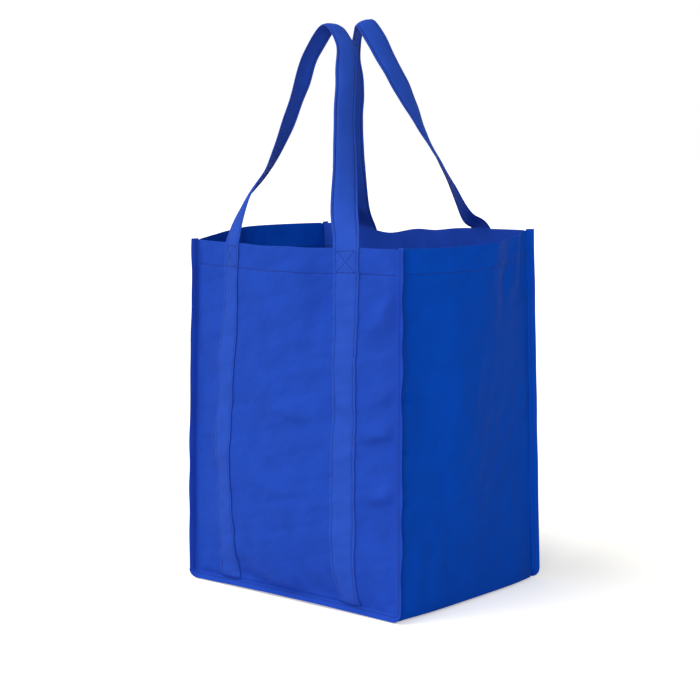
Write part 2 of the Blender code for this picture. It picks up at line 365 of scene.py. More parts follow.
# Folds: a line of places across the cloth and heights above the base seam, the depth, negative for
# a furrow, and the widths of the left and the right flank, as seen along the line
FRONT_FOLDS = (
    # A hollow that falls from the rim beside the right strap, and the swell to its left
    (((0.064, RIM + 0.01), (0.062, RIM - 0.03), (0.057, RIM - 0.07), (0.060, 0.278)),
     -0.0044, 0.016, 0.012),
    (((0.040, RIM + 0.01), (0.034, RIM - 0.04), (0.036, 0.300)), 0.0026, 0.011, 0.011),
    # A slanting fold from the near seam down to the right strap
    (((0.160, 0.340), (0.150, 0.333), (0.134, 0.316), (0.114, 0.286)), 0.0050, 0.024, 0.011),
    level_crease(0.193, 0.0036, 0.044),
    level_crease(0.127, 0.0034, 0.036),
    level_crease(0.236, 0.0022, 0.026),
    level_crease(0.066, 0.0014, 0.022),
    # Long shallow folds across the middle
    (((0.075, 0.216), (0.040, 0.207), (-0.010, 0.214)), 0.0018, 0.006, 0.014),
    (((0.070, 0.128), (0.020, 0.120), (-0.030, 0.126)), 0.0013, 0.007, 0.014),
    (((-0.060, 0.330), (-0.052, 0.296), (-0.058, 0.255)), 0.0016, 0.010, 0.010),
    base_pucker(-0.036, 0.014, 0.0018),
    base_pucker(0.012, 0.018, 0.0014),
    base_pucker(0.118, 0.016, 0.0016),
    base_pucker(0.146, 0.034, 0.0018),
)
BACK_FOLDS = (
    rim_furrow(-0.130, 0.0012),
    rim_furrow(-0.055, 0.0020),
    rim_furrow(0.018, 0.0014),
    rim_furrow(0.048, 0.0016),
    rim_furrow(0.072, 0.0012),
    # A level fold from each seam
    (((0.156, 0.250), (0.120, 0.235), (0.085, 0.240)), 0.0020, 0.010, 0.005),
    (((-0.156, 0.130), (-0.125, 0.118), (-0.095, 0.121)), 0.0018, 0.010, 0.005),
)
SIDE_FOLDS = {
    LEFT: (
        (((-0.020, 0.330), (-0.060, 0.300), (-0.105, 0.290)), 0.0016, 0.012, 0.012),
        (((-0.125, 0.140), (-0.105, 0.137), (-0.080, 0.140)), 0.0014, 0.008, 0.008),
    ),
    RIGHT: (
        # Upright waves in the far half, under the rim
        (((0.045, RIM + 0.01), (0.048, RIM - 0.03), (0.040, 0.290)), -0.0044, 0.013, 0.020),
        (((0.074, RIM + 0.01), (0.076, RIM - 0.02), (0.072, RIM - 0.06)), 0.0042, 0.008, 0.008),
        (((0.094, RIM + 0.01), (0.094, RIM - 0.03), (0.092, RIM - 0.07)), -0.0022, 0.007, 0.007),
        # A hollow beside the near seam that runs out across the side
        (((-0.104, RIM + 0.01), (-0.102, 0.330), (-0.088, 0.270), (-0.050, 0.215)),
         -0.0034, 0.012, 0.020),
        # A broad swell down the middle, from which the far half falls back to its seam
        (((-0.030, 0.345), (-0.034, 0.200), (-0.026, 0.030)), 0.0090, 0.062, 0.036),
        side_arc(0.232, 0.028),
        side_arc(0.176, 0.020),
        side_arc(0.121, 0.028),
        # A long low fold across the near half, and a small one at the base
        (((-0.095, 0.121), (-0.050, 0.113), (0.010, 0.118)), 0.0014, 0.008, 0.008),
        (((0.030, 0.004), (0.034, 0.020), (0.044, 0.046)), 0.0016, 0.005, 0.005),
    ),
}

# The front panel's relief is this many times what its tables say. Near the rim it leans out to the
# right of the left strap, and it has fine gathers of this height, size and random seed
FRONT_RELIEF = 1.7
STRAP_PULL = 0.18
STRAP_PULL_REACH = 0.019
RIM_GATHERS = (0.0005, 0.030, 21)


def rows():
    """Heights up a panel from its base seam, 0, to its rim, 1."""
    angles = [math.pi / 2 * (1 - step / CORNER_ROWS) for step in range(CORNER_ROWS)]
    heights = [CORNER_RADIUS * (1 - math.sin(angle)) for angle in angles]
    near = 3 * SEAM_STEP
    heights += spaced(CORNER_RADIUS, HEM_LINE - near, STEP)
    heights += spaced(HEM_LINE - near, HEM_LINE + near, SEAM_STEP)
    heights += spaced(HEM_LINE + near, PANEL_HEIGHT, STEP)
    heights.append(PANEL_HEIGHT)
    return np.array(heights) / PANEL_HEIGHT


def places_across(half_width, step, close):
    """Places across a sheet between its two seams, -1 to 1, with fine steps close to the seams."""
    half = spaced(0.0, half_width - close, step)
    half += spaced(half_width - close, half_width, SEAM_STEP)
    half.append(half_width)
    return mirrored(np.array(half) / half_width)


def columns():
    """Places across a panel, and along the base from side to side."""
    return places_across(HALF_BASE, STEP, 0.006)


def along_seam(grid):
    """The border of a panel's grid, from the left rim down, along the base and up again."""
    return np.concatenate([grid[::-1, 0], grid[0, 1:-1], grid[:, -1]])


def seam_stations(across, up):
    """End, place across and row of each station of a seam, in the same order."""
    u, row = (along_seam(grid) for grid in np.meshgrid(across, up))
    end = np.where(np.arange(len(u)) < len(up), LEFT, RIGHT)
    return end, u, row


def corner_angle(row):
    """Direction in which a seam's outline faces: 0 upright, a quarter turn along the base."""
    return np.arcsin(np.clip((CORNER_RADIUS - row * PANEL_HEIGHT) / CORNER_RADIUS, 0.0, 1.0))


def seam_x(end, row, side):
    """Where a panel's left or right seam stands."""
    rounding = CORNER_RADIUS * (1 - np.cos(corner_angle(row)))
    plain = end * (HALF_BASE - WIDTH_DRAW_IN * row - rounding)
    low, middle, high = SEAM_SHIFT[end, side]
    return plain + low + (middle - low) * smooth(2.5 * row) + (high - middle) * smooth(row)


def rim_rise(x, side):
    """How much higher than the plain front rim the rim stands."""
    if side == FRONT:
        height, size = FRONT_RIM_WAVE
        slant = FRONT_RIM_SLANT * smooth(-x / HALF_BASE)
        return FRONT_RIM_RISE + slant + height * np.sin(x / size)
    dips = sum(depth * bell(x - place, reach) for depth, place, reach in BACK_RIM_DIPS)
    lift, start, reach = BACK_RIM_LIFT
    return BACK_RIM_RISE - dips + lift * smooth((-x - start) / reach)


def bow_at(u, row, side):
    """How far a panel stands out from the line between its two seams."""
    bow = PANEL_BOW * (1 - (1 - row) ** PANEL_TUCK)
    if side == BACK:
        share = (row - BACK_FLATTENS_FROM) / (1 - BACK_FLATTENS_FROM)
        bow = bow - BACK_RIM_FLATTER * smooth(share)
    else:
        share, place, reach = FRONT_FLATTER
        bow = bow * (1 - share * row**2 * bell(u - place, reach))
    return bow * (1 - u**2)


def front_folds(x, h):
    """Folds and swells of the front panel, outwards. h is the height above the base seam."""
    from_strap = x - strap_middle(LEFT, h / RIM, FRONT)
    near_rim = smooth((h / RIM - 0.66) / 0.34)
    out = rippled(x, h, FRONT_RIPPLES)
    out = out + STRAP_PULL * from_strap * bell(from_strap, STRAP_PULL_REACH) * near_rim
    out = folded(x, h, out, FRONT_FOLDS)
    height, size, seed = RIM_GATHERS
    gathers = height * ripples(x, h * 0.08, size, seed) * smooth((h - RIM + 0.07) / 0.07)
    return FRONT_RELIEF * (out + gathers)


def hem_groove(h):
    """The stitches of the hem draw the cloth in along their row."""
    depth, reach = HEM_GROOVE
    return -depth * bell(h - HEM_LINE, reach)


def panel_at(u, row, side):
    """Points of a panel's middle surface. u runs from the left seam, -1, to the right, 1."""
    u, row = np.broadcast_arrays(np.asarray(u, float), np.asarray(row, float))
    left, right = seam_x(LEFT, row, side), seam_x(RIGHT, row, side)
    x = (left + right) / 2 + u * (right - left) / 2
    h = row * PANEL_HEIGHT
    from_side = (1 - np.abs(u)) * (right - left) / 2
    free = smooth(from_side / PANEL_FADE[0]) * smooth(h / PANEL_FADE[1])
    if side == FRONT:
        folds = front_folds(x, h)
    else:
        folds = folded(x, h, rippled(x, h, BACK_RIPPLES), BACK_FOLDS)
    groove = hem_groove(h) * smooth(from_side / 0.004)
    height, size = HEM_PUCKER
    pucker = height * np.sin(x / size) * bell(h - HEM_LINE, 0.006)
    half_depth = BASE_DEPTH / 2 - DEPTH_DRAW_IN * row
    out = half_depth + bow_at(u, row, side) + folds * free + groove + pucker * free
    z = SEAM_HEIGHT + row * (PANEL_HEIGHT + rim_rise(x, side))
    if side == FRONT:
        z = z + FRONT_BASE_ARCH * (1 - u**2) * (1 - smooth(h / 0.05))
    return np.stack([x, side * out, z], axis=-1)


def u_of(x, row, side):
    """Where x lies between a panel's two seams, -1 to 1."""
    left, right = seam_x(LEFT, row, side), seam_x(RIGHT, row, side)
    return (2 * x - left - right) / (right - left)


def panel_normal(u, row, side):
    """Outward direction of a panel."""
    nudge = 0.004
    across = panel_at(u + nudge, row, side) - panel_at(u - nudge, row, side)
    upward = panel_at(u, row + nudge, side) - panel_at(u, row - nudge, side)
    return unit(-side * np.cross(across, upward))


def fin_frame(end, row, side):
    """Directions along a fin's width and across its two layers, at stations of its seam.

    end says for each station whether it belongs to the seam's left or right run.
    """
    angle = corner_angle(row)
    degrees = np.where(end == LEFT, FIN_TURN[LEFT, side], FIN_TURN[RIGHT, side])
    upright = np.radians(degrees)
    turn = upright + (BASE_FIN_TURN - upright) * angle / (math.pi / 2)
    zero = np.zeros(np.shape(angle))
    out = np.stack([end * np.cos(angle), zero, -np.sin(angle)], axis=-1)
    away = np.stack([zero, zero + side, zero], axis=-1)
    cos, sin = np.cos(turn)[..., None], np.sin(turn)[..., None]
    return out * cos + away * sin, out * sin - away * cos


def flat_places(across, along):
    """Places on the flat cloth for a grid: across each row, and along from row to row."""
    return np.stack(np.meshgrid(across, along), axis=-1)


class Sheet:
    """A sheet of cloth, gathered from grids of points that share their borders."""

    def __init__(self):
        self.points = []
        self.places = []
        self.faces = []
        self.count = 0

    def add(self, points, places):
        """Adds a grid of points with their places on the flat cloth, and gives their numbers."""
        numbers = self.count + np.arange(points[..., 0].size).reshape(points.shape[:-1])
        self.points.append(points.reshape(-1, 3))
        self.places.append(places.reshape(-1, 2))
        self.count += numbers.size
        return numbers

    def cover(self, numbers):
        """Four-cornered faces between neighbouring numbers."""
        a, b = numbers[:-1, :-1], numbers[:-1, 1:]
        c, d = numbers[1:, 1:], numbers[1:, :-1]
        self.faces.append(np.stack([a, b, c, d], axis=-1).reshape(-1, 4))

    def make(self, name, material):
        arrays = map(np.concatenate, (self.points, self.faces, self.places))
        return new_piece(name, *arrays, material)


def new_object(name, data):
    """An object in the scene, with its data."""
    thing = bpy.data.objects.new(name, data)
    bpy.context.collection.objects.link(thing)
    return thing


def new_piece(name, points, faces, places, material):
    """An object from arrays of points and four-cornered faces."""
    mesh = bpy.data.meshes.new(name)
    mesh.from_pydata(points.tolist(), [], faces.tolist())
    if places is not None:
        layer = mesh.uv_layers.new(name="cloth")
        corners = np.empty(len(mesh.loops), np.int32)
        mesh.loops.foreach_get("vertex_index", corners)
        layer.uv.foreach_set("vector", places[corners].astype(np.float32).ravel())
    mesh.materials.append(material)
    mesh.validate()
    mesh.shade_smooth()
    return new_object(name, mesh)


def face_outwards(piece):
    """Turns the faces of a closed mesh outwards."""
    mesh = piece.data
    shape = bmesh.new()
    shape.from_mesh(mesh)
    bmesh.ops.recalc_face_normals(shape, faces=shape.faces)
    shape.to_mesh(mesh)
    shape.free()


def thickened(piece):
    """Gives a sheet its thickness, half to each side."""
    solid = piece.modifiers.new("thickness", "SOLIDIFY")
    solid.thickness = SHEET
    solid.offset = 0.0
    piece.modifiers.new("even shading", "WEIGHTED_NORMAL")
    return piece


def fold_hem(sheet, numbers, rim, outer, inward, across, along):
    """Turns the cloth over along its rim, which has the numbers and the points given.

    outer has the lines, from the rim down, that the turned layer lies behind, and inward their
    directions. across and along are the rim's places on the flat cloth.
    """
    up = np.array([0.0, 0.0, 1.0])
    lines = []
    for step in range(1, FOLD_ROWS):
        angle = math.pi * step / FOLD_ROWS
        turn = inward[0] * (1 - math.cos(angle)) + up * math.sin(angle)
        lines.append(rim + FOLD_RADIUS * turn)
    lines += list(outer + inward * 2 * FOLD_RADIUS)
    past = np.arange(1, len(lines) + 1) * (HEM_DEPTH / len(lines))
    turned = sheet.add(np.array(lines), flat_places(across, along + past))
    sheet.cover(np.concatenate([numbers[None], turned]))


def add_fin(sheet, border, start, seam, width, along, half_width, side, sign):
    """A fin layer along a border of a sheet, whose points are start. The seam is the panel's."""
    away = np.arange(1, FIN_COLUMNS + 1) / FIN_COLUMNS * FIN_WIDTH
    fin = start[:, None] + width[:, None] * away[:, None] + fin_wave(seam, width, away, side)
    places = flat_places(sign * (half_width + away), along)
    numbers = np.concatenate([border[:, None], sheet.add(fin, places)], axis=1)
    sheet.cover(numbers[:, ::sign])


def make_panel(name, side, material):
    """Front or back panel, with its fin layer on three sides and its hem at the rim."""
    sheet = Sheet()
    across, up = columns(), rows()
    u, row = np.meshgrid(across, up)
    points = panel_at(u, row, side)
    points[-1, (0, -1), 2] += FIN_ABOVE_RIM
    numbers = sheet.add(points, flat_places(across * HALF_BASE, up * PANEL_HEIGHT))
    sheet.cover(numbers)

    end, _, seam_row = seam_stations(across, up)
    width, _ = fin_frame(end, seam_row, side)
    seam = along_seam(points)
    border = along_seam(numbers)
    add_fin(sheet, border, seam, seam, width, lengths_along(seam), HALF_BASE, side, 1)

    keep = np.abs(across) < 1 - HEM_END / HALF_BASE
    u, row = np.meshgrid(across[keep], HEM_ROWS)
    outer = panel_at(u, row, side)
    inward = -panel_normal(u, np.minimum(row, 0.995), side)
    flat = across[keep] * HALF_BASE
    fold_hem(sheet, numbers[-1][keep], points[-1][keep], outer, inward, flat, PANEL_HEIGHT)
    return thickened(sheet.make(name, material))


def fin_wave(start, width, away, side):
    """A slight wave along a fin, the same in both of its layers, growing to its free edge."""
    along = start @ np.array([1.0, 0.35 * side, 1.0])
    height, size, seed = FIN_WAVE
    wave = height * ripples(along, 0.0, size, seed + side)
    grows = (away / FIN_WIDTH) ** 2
    across = unit(np.cross(width, np.gradient(start, axis=0) + 1e-9))
    return across[:, None] * (wave[:, None] * grows)[..., None]


def strap_middle(end, row, side):
    """Where the middle line of a strap lies across its panel."""
    if side == BACK:
        low = end * BACK_STRAP_FOOT
        return low + (BACK_STRAP_RIM[end] - low) * smooth(row)
    heights, places = STRAP_LINES[end]
    near = [np.interp(row + shift, heights, places) for shift in (-0.04, -0.02, 0.0, 0.02, 0.04)]
    return sum(near) / len(near)


def side_ridge(place):
    """Plan shape of a bowed side: two nearly straight halves that meet in a soft ridge."""
    top = math.hypot(1.0, RIDGE_SOFTNESS)
    return (top - np.hypot(place, RIDGE_SOFTNESS)) / (top - RIDGE_SOFTNESS)


def side_shape(end, place, here, y):
    """How far a side stands out from the line between its seams, at its heights here, 0 to 1."""
    lean = RIDGE_SHIFT * smooth(here)
    shape = side_ridge(place - lean)
    shape = shape - side_ridge(1 - lean) * (place + 1) / 2
    shape = shape - side_ridge(-1 - lean) * (1 - place) / 2
    low = BASE_BULGE * (1 - place**4) * (1 - smooth(here / 0.30)) * smooth(here / 0.006)
    bulge = SIDE_BOW[end] * here**SIDE_BOW_GROWTH * shape + low
    h = here * PANEL_HEIGHT
    from_seam = 1 - np.abs(place)
    free = smooth(from_seam / SIDE_FADE[0]) * smooth(h / SIDE_FADE[1])
    folds = folded(y, h, rippled(y, h, SIDE_RIPPLES[end]), SIDE_FOLDS[end]) * free
    return bulge + (folds + hem_groove(h) * smooth(from_seam / 0.03))


def gusset_points(end, row, u, place):
    """The strip from the front seam, place -1, to the back seam, 1, at each station."""
    seams = []
    for side in (FRONT, BACK):
        _, layer = fin_frame(end, row, side)
        seams.append(panel_at(u, row, side) + layer * LAYER_STEP)
    share = (place[:, None] + 1) / 2
    points = seams[0][:, None] * (1 - share) + seams[1][:, None] * share
    for sign in (LEFT, RIGHT):
        upright = (end == sign) & (np.abs(u) == 1)
        here = row[upright][:, None]
        y = points[upright, :, 1]
        points[upright, :, 0] += sign * side_shape(sign, place, here, y)
        points[upright, :, 2] += SIDE_RIM_RISE[sign] * (1 - place**2) * here**3
    # Beside its seams the base goes down from their height to the floor
    from_seam = smooth((1 - np.abs(place)) / BASE_SEAM_FOLD)
    fade = smooth(1 - row / BASE_EASES_OUT_AT)[:, None]
    drop = SEAM_HEIGHT - LAYER_STEP * math.sin(BASE_FIN_TURN) - SHEET / 2
    lowest = SHEET / 2 + 0.0001
    points[..., 2] = np.maximum(points[..., 2] - drop * from_seam * fade, lowest)
    return points


def make_gusset(name, material):
    """One strip: left side, base and right side, with a fin layer along both of its edges."""
    sheet = Sheet()
    across, up = columns(), rows()
    place = places_across(BASE_DEPTH / 2, GUSSET_STEP, 0.009)
    end, u, row = seam_stations(across, up)
    points = gusset_points(end, row, u, place)
    for station in (0, -1):
        points[station, (0, -1), 2] += FIN_ABOVE_RIM
    along = lengths_along(points[:, len(place) // 2])
    numbers = sheet.add(points, flat_places(place * BASE_DEPTH / 2, along))
    sheet.cover(numbers)
    for side, edge in ((FRONT, 0), (BACK, -1)):
        width, layer = fin_frame(end, row, side)
        start = points[:, edge]
        seam = start - layer * LAYER_STEP
        add_fin(sheet, numbers[:, edge], start, seam, width, along, BASE_DEPTH / 2, side, side)

    keep = np.abs(place) < 1 - 2 * HEM_END / BASE_DEPTH
    flat = place[keep] * BASE_DEPTH / 2
    for sign, line in ((LEFT, 0), (RIGHT, -1)):
        outer = np.array([side_line(sign, level, place)[keep] for level in HEM_ROWS])
        inward = -side_normal(outer, sign)
        rim = points[line][keep]
        fold_hem(sheet, numbers[line][keep], rim, outer, inward, flat, along[line])
    return thickened(sheet.make(name, material))


def side_line(end, row, place):
    """One level line of a side, from the front seam to the back seam."""
    return gusset_points(np.array([end]), np.array([row]), np.array([float(end)]), place)[0]


def side_normal(lines, end):
    """Outward directions of a side, kept level, at the points of its level lines."""
    slope = np.gradient(lines, axis=-2)
    out = np.stack([slope[..., 1], -slope[..., 0], np.zeros(slope.shape[:-1])], axis=-1)
    return unit(out) * end


def smooth_line(knots, count):
    """Points along a smooth curve through the knots, evenly spread over its length."""
    knots = np.array(knots, float)
    gaps = np.sqrt(np.linalg.norm(np.diff(knots[:, :3], axis=0), axis=1))
    chord = np.concatenate([[0.0], np.cumsum(gaps)])
    slopes = np.gradient(knots, chord, axis=0)
    fine = np.linspace(0, chord[-1], 40 * len(knots))
    i = np.clip(np.searchsorted(chord, fine, side="right") - 1, 0, len(knots) - 2)
    wide = (chord[i + 1] - chord[i])[:, None]
    t = (fine - chord[i])[:, None] / wide
    a, b, p, q = knots[i], knots[i + 1], slopes[i] * wide, slopes[i + 1] * wide
    line = (2 * t**3 - 3 * t**2 + 1) * a + (t**3 - 2 * t**2 + t) * p
    line = line + (3 * t**2 - 2 * t**3) * b + (t**3 - t**2) * q
    length = lengths_along(line[:, :3])
    return sampled(np.linspace(0, length[-1], count), length, line)


def sewn_run(end, side):
    """Base points and normals across a strap, from the base seam up to the rim."""
    row = np.concatenate([[0.004], np.arange(0.012, 0.9999, STRAP_STEP / PANEL_HEIGHT), [1.0]])
    x = strap_middle(end, row, side)[:, None] + STRAP_ACROSS * end
    row = np.broadcast_to(row[:, None], x.shape)
    u = u_of(x, row, side)
    # Past the rim the panel has no shape, so the rim takes the direction from just below it
    normal = panel_normal(u, np.minimum(row, 0.994), side)
    height = row * PANEL_HEIGHT
    inside = smooth((STRAP_WIDTH / 2 - STITCH_INSET - np.abs(STRAP_ACROSS)) / 0.004)
    most, size, seed = STRAP_RIPPLE
    wrinkle = most * np.abs(ripples(STRAP_ACROSS * 0.4, height, size, seed + end))
    for place, slant, depth in STRAP_WRINKLES[end]:
        from_line = height - place - slant * STRAP_ACROSS
        wrinkle = wrinkle + depth * bell(from_line, WRINKLE_REACH)
    wrinkle = wrinkle * inside
    lift = SHEET / 2 + STRAP_CLEARANCE + STRAP_THICKNESS / 2 + wrinkle
    return panel_at(u, row, side) + normal * lift[..., None], normal


def strap_profile():
    """Places across a strap with the height of its face above its middle there."""
    half = STRAP_WIDTH / 2
    across = mirrored(np.array(STRAP_PROFILE) * half)
    from_stitch = np.abs(across) - (half - STITCH_INSET)
    share, reach = STRAP_SWELL
    face = 0.5 * STRAP_THICKNESS * (1 + share * smooth(-from_stitch / reach))
    depth, reach = STITCH_GROOVE
    face = face - depth * bell(from_stitch, reach)
    edge = np.clip((half - np.abs(across)) / STRAP_ROUNDING, 0.0, 1.0)
    return across, face * np.sqrt(1 - (1 - edge) ** 2)


STRAP_ACROSS, STRAP_FACE = strap_profile()


def loop_axes(along, side):
    """Directions across a loop's line: one towards the mouth's middle, and one square to it."""
    deep = np.array([0.0, -side, 0.0])
    inwards = unit(deep - along * (along @ deep)[..., None])
    return inwards, np.cross(inwards, along) * side


def loop_line(side, left, right):
    """Middle points of a strap over the mouth, each with its turn in degrees, and their length."""
    centre = len(STRAP_ACROSS) // 2
    knots = []
    for end, (points, _) in ((LEFT, left), (RIGHT, right)):
        root = points[-1, centre]
        up = unit(root - points[-4, centre])
        inwards, square = loop_axes(up * -end, side)
        across = unit(points[-1, -1] - points[-1, 0])
        first = math.degrees(math.atan2(across @ inwards, across @ square))
        leg = [(*(root - up * 0.03), first), (*root, first), *LEGS[end, side]]
        knots += leg if end == LEFT else [TOPS[side], *leg[::-1]]
    line = smooth_line(knots, LOOP_POINTS)
    roots = (run[0][-1, centre] for run in (left, right))
    begin, end = (np.argmin(np.linalg.norm(line[:, :3] - root, axis=1)) for root in roots)
    line = line[begin : end + 1]
    length = lengths_along(line[:, :3])[-1]
    pick = np.linspace(0, len(line) - 1, math.ceil(length / STRAP_STEP) + 1)
    return sampled(pick, np.arange(len(line)), line), length


def loop_run(side, left, right):
    """Base points and normals across a strap over the mouth, from its left root to its right.

    left and right are the sewn runs, whose last stations the loop joins smoothly.
    """
    stations, length = loop_line(side, left, right)
    middle, turn = stations[:, :3], np.radians(stations[:, 3:])
    along = unit(np.gradient(middle, axis=0))
    inwards, square = loop_axes(along, side)
    across = square * np.cos(turn) + inwards * np.sin(turn)
    normal = np.cross(across, along) * side
    share = np.linspace(0, 1, len(stations))[:, None]
    free = np.sin(math.pi * share)
    curl = STRAP_CURL * free**0.6 * (STRAP_ACROSS / (STRAP_WIDTH / 2)) ** 2
    height, size, seed = STRAP_WAVE
    wave = height * ripples(share * length, STRAP_ACROSS, size, seed + side) * free
    base = middle[:, None] + across[:, None] * STRAP_ACROSS[:, None]
    base = base - normal[:, None] * (curl + wave)[..., None]
    normal = np.broadcast_to(normal[:, None], base.shape)
    # The ends take over the lie of the sewn runs, fading out along the strap
    for run, root, travel in ((left, 0, share * length), (right, -1, (1 - share) * length)):
        fade = 1 - smooth(travel / STRAP_JOIN)[..., None]
        base = base + (run[0][-1] - base[root]) * fade
        normal = normal + (run[1][-1] - normal[root]) * fade
    return base, unit(normal)


def strap_run(side):
    """Base points and normals of a whole strap, and its stations at the two rim crossings."""
    left, right = sewn_run(LEFT, side), sewn_run(RIGHT, side)
    loop = loop_run(side, left, right)
    runs = zip(left, loop, right)
    points, normals = (np.concatenate([up[:-1], over, down[-2::-1]]) for up, over, down in runs)
    return points, normals, (len(left[0]) - 1, len(left[0]) + len(loop[0]) - 2)


def make_handle(name, base, normal, material):
    """One strap: up the left of its panel, over the mouth and down the right of its panel."""
    upper = base + normal * STRAP_FACE[:, None]
    lower = base - normal * STRAP_FACE[:, None]
    ring = np.concatenate([upper, lower[:, -2:0:-1]], axis=1)
    along = lengths_along(base[:, len(STRAP_ACROSS) // 2])
    across = np.concatenate([STRAP_ACROSS, STRAP_ACROSS[-2:0:-1] + STRAP_WIDTH])
    sheet = Sheet()
    numbers = sheet.add(ring, flat_places(across, along))
    sheet.cover(np.concatenate([numbers, numbers[:, :1]], axis=1))
    half = len(STRAP_ACROSS)
    for line in (0, -1):
        top = numbers[line, :half]
        bottom = np.concatenate([top[:1], numbers[line, half:][::-1], top[-1:]])
        ends = np.stack([top, bottom])
        sheet.cover(ends if line else ends[::-1])
    piece = sheet.make(name, material)
    face_outwards(piece)
    return piece, along[-1]


def stitches(line, normals):
    """Points and faces of a row of stitches that lie on a surface along a line."""
    length = lengths_along(line)
    count = max(2, int(length[-1] / STITCH_PITCH))
    at = (np.arange(count) + 0.5) * length[-1] / count
    middle, up = sampled(at, length, line), sampled(at, length, normals)
    ahead = unit(np.diff(middle, axis=0))
    ahead = np.concatenate([ahead, ahead[-1:]])
    up = unit(up - ahead * (up * ahead).sum(1, keepdims=True))
    across = np.cross(ahead, up)
    angle = np.arange(THREAD_SIDES) * 2 * math.pi / THREAD_SIDES
    cos, sin = np.cos(angle)[:, None], np.sin(angle)[:, None]
    around = across[:, None] * cos + up[:, None] * sin
    rings = []
    for place, size, height in THREAD_RINGS:
        centre = middle + ahead * place * STITCH / 2 + up * height * THREAD
        rings.append(centre[:, None] + around * THREAD * size)
    points = np.stack(rings, axis=1)
    numbers = np.arange(points[..., 0].size).reshape(points.shape[:-1])
    a = numbers[:, :-1]
    b = np.roll(a, -1, axis=-1)
    faces = [np.stack([a, a + THREAD_SIDES, b + THREAD_SIDES, b], axis=-1).reshape(-1, 4)]
    # Each end is closed by two faces
    for corners in ((0, 1, 2, 3), (0, 3, 4, 5)):
        for cap, turn in ((0, 1), (-1, -1)):
            faces.append(numbers[:, cap, corners[::turn]])
    return points.reshape(-1, 3), np.concatenate(faces)


def sew(name, rows_of_stitches, material):
    """One piece of thread out of rows of stitches."""
    points, faces, count = [], [], 0
    for line, normals in rows_of_stitches:
        row_points, row_faces = stitches(line, normals)
        points.append(row_points)
        faces.append(row_faces + count)
        count += len(row_points)
    piece = new_piece(name, np.concatenate(points), np.concatenate(faces), None, material)
    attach(piece, "root")


def both_faces(middle, normal, apart):
    """A row through two layers whose middles are that far apart, seen on both of their faces."""
    outside = middle + normal * SHEET / 2
    inside = middle - normal * (apart + SHEET / 2)
    return [(outside, normal), (inside, -normal)]


def panel_hem_stitches(side):
    """The rows of a panel's hem."""
    u = np.linspace(-HEM_STITCHED, HEM_STITCHED, 260)
    row = np.full(u.shape, HEM_LINE_ROW)
    return both_faces(panel_at(u, row, side), panel_normal(u, row, side), 2 * FOLD_RADIUS)


def side_hem_stitches(end):
    """The rows of a side's hem."""
    place = np.linspace(-HEM_STITCHED, HEM_STITCHED, 200)
    line = side_line(end, HEM_LINE_ROW, place)
    return both_faces(line, side_normal(line, end), 2 * FOLD_RADIUS)


def fin_stitches(side):
    """The rows that close the fin round a panel, on the panel's layer and the gusset's."""
    end, u, row = seam_stations(columns(), rows())
    start = panel_at(u, row, side)
    width, layer = fin_frame(end, row, side)
    wave = fin_wave(start, width, np.array([FIN_STITCH]), side)[:, 0]
    return both_faces(start + width * FIN_STITCH + wave, -layer, LAYER_STEP)


def strap_stitches(base, normal, crossings):
    """Rows along both edges of a strap, and a crossed box on each leg under the rim."""
    from_middle = STRAP_WIDTH / 2 - STITCH_INSET
    edges = [np.argmin(np.abs(STRAP_ACROSS - edge)) for edge in (-from_middle, from_middle)]
    face = STRAP_FACE[edges[0]]
    low, high = crossings
    result = []
    # The whole length on the outer face, and between the rims on the inner face
    for first, last, outer in ((2, len(base) - 3, 1), (low + 4, high - 3, -1)):
        for column in edges:
            up = normal[first:last, column] * outer
            result.append((base[first:last, column] + up * face, up))
    half = BOX_HALF_WIDTH
    for crossing, down in ((low, -1), (high, 1)):
        top = crossing + down * BOX_TOP / STRAP_STEP
        bottom = crossing + down * (BOX_TOP + BOX_HEIGHT) / STRAP_STEP
        corners = ((top, -half), (top, half), (bottom, -half), (bottom, half))
        for a, b in ((0, 1), (2, 3), (0, 3), (1, 2)):
            ends = zip(corners[a], corners[b])
            station, place = (np.linspace(first, last, 40) for first, last in ends)
            result.append(on_strap(base, normal, station, place))
    return result


def on_strap(base, normal, station, place):
    """Points on a strap's outer face, at stations along it and places across it."""
    below = np.floor(station).astype(int)
    found = []
    for field in (base + normal * STRAP_FACE[:, None], normal):
        picked = []
        for row, share, at in zip(below, station - below, place):
            mixed = field[row] * (1 - share) + field[row + 1] * share
            picked.append(sampled(at, STRAP_ACROSS, mixed))
        found.append(np.array(picked))
    return found[0], unit(found[1])


def new_material(name):
    """A material with its node tree and its shader."""
    material = bpy.data.materials.new(name)
    material.use_nodes = True
    tree = material.node_tree
    return material, tree, tree.nodes["Principled BSDF"]


def set_inputs(tree, node, inputs):
    """Sets inputs of a node, or links them where the value is another node's output."""
    for name, value in inputs.items():
        socket = node.inputs[name]
        if isinstance(value, bpy.types.NodeSocket):
            tree.links.new(value, socket)
        else:
            socket.default_value = value


def add_node(tree, kind, inputs, **settings):
    """A new shader node with its settings and its inputs."""
    node = tree.nodes.new("ShaderNode" + kind)
    for name, value in settings.items():
        setattr(node, name, value)
    set_inputs(tree, node, inputs)
    return node


def noise(tree, vector, scale, detail, **more):
    """Noise at a place, as a value from 0 to 1."""
    inputs = {"Vector": vector, "Scale": scale, "Detail": detail, **more}
    return add_node(tree, "TexNoise", inputs).outputs[0]


def mixed_colour(tree, factor, first, second, blend="MIX"):
    """A colour between two. Colours are inputs 6 and 7 of a mix node, and output 2."""
    inputs = {0: factor, 6: first, 7: second}
    return add_node(tree, "Mix", inputs, data_type="RGBA", blend_type=blend).outputs[2]


def shades_of(colour, uneven):
    """A darker and a lighter shade of a colour."""
    return [(*(c * factor for c in colour), 1) for factor in (1 - uneven, 1 + uneven)]


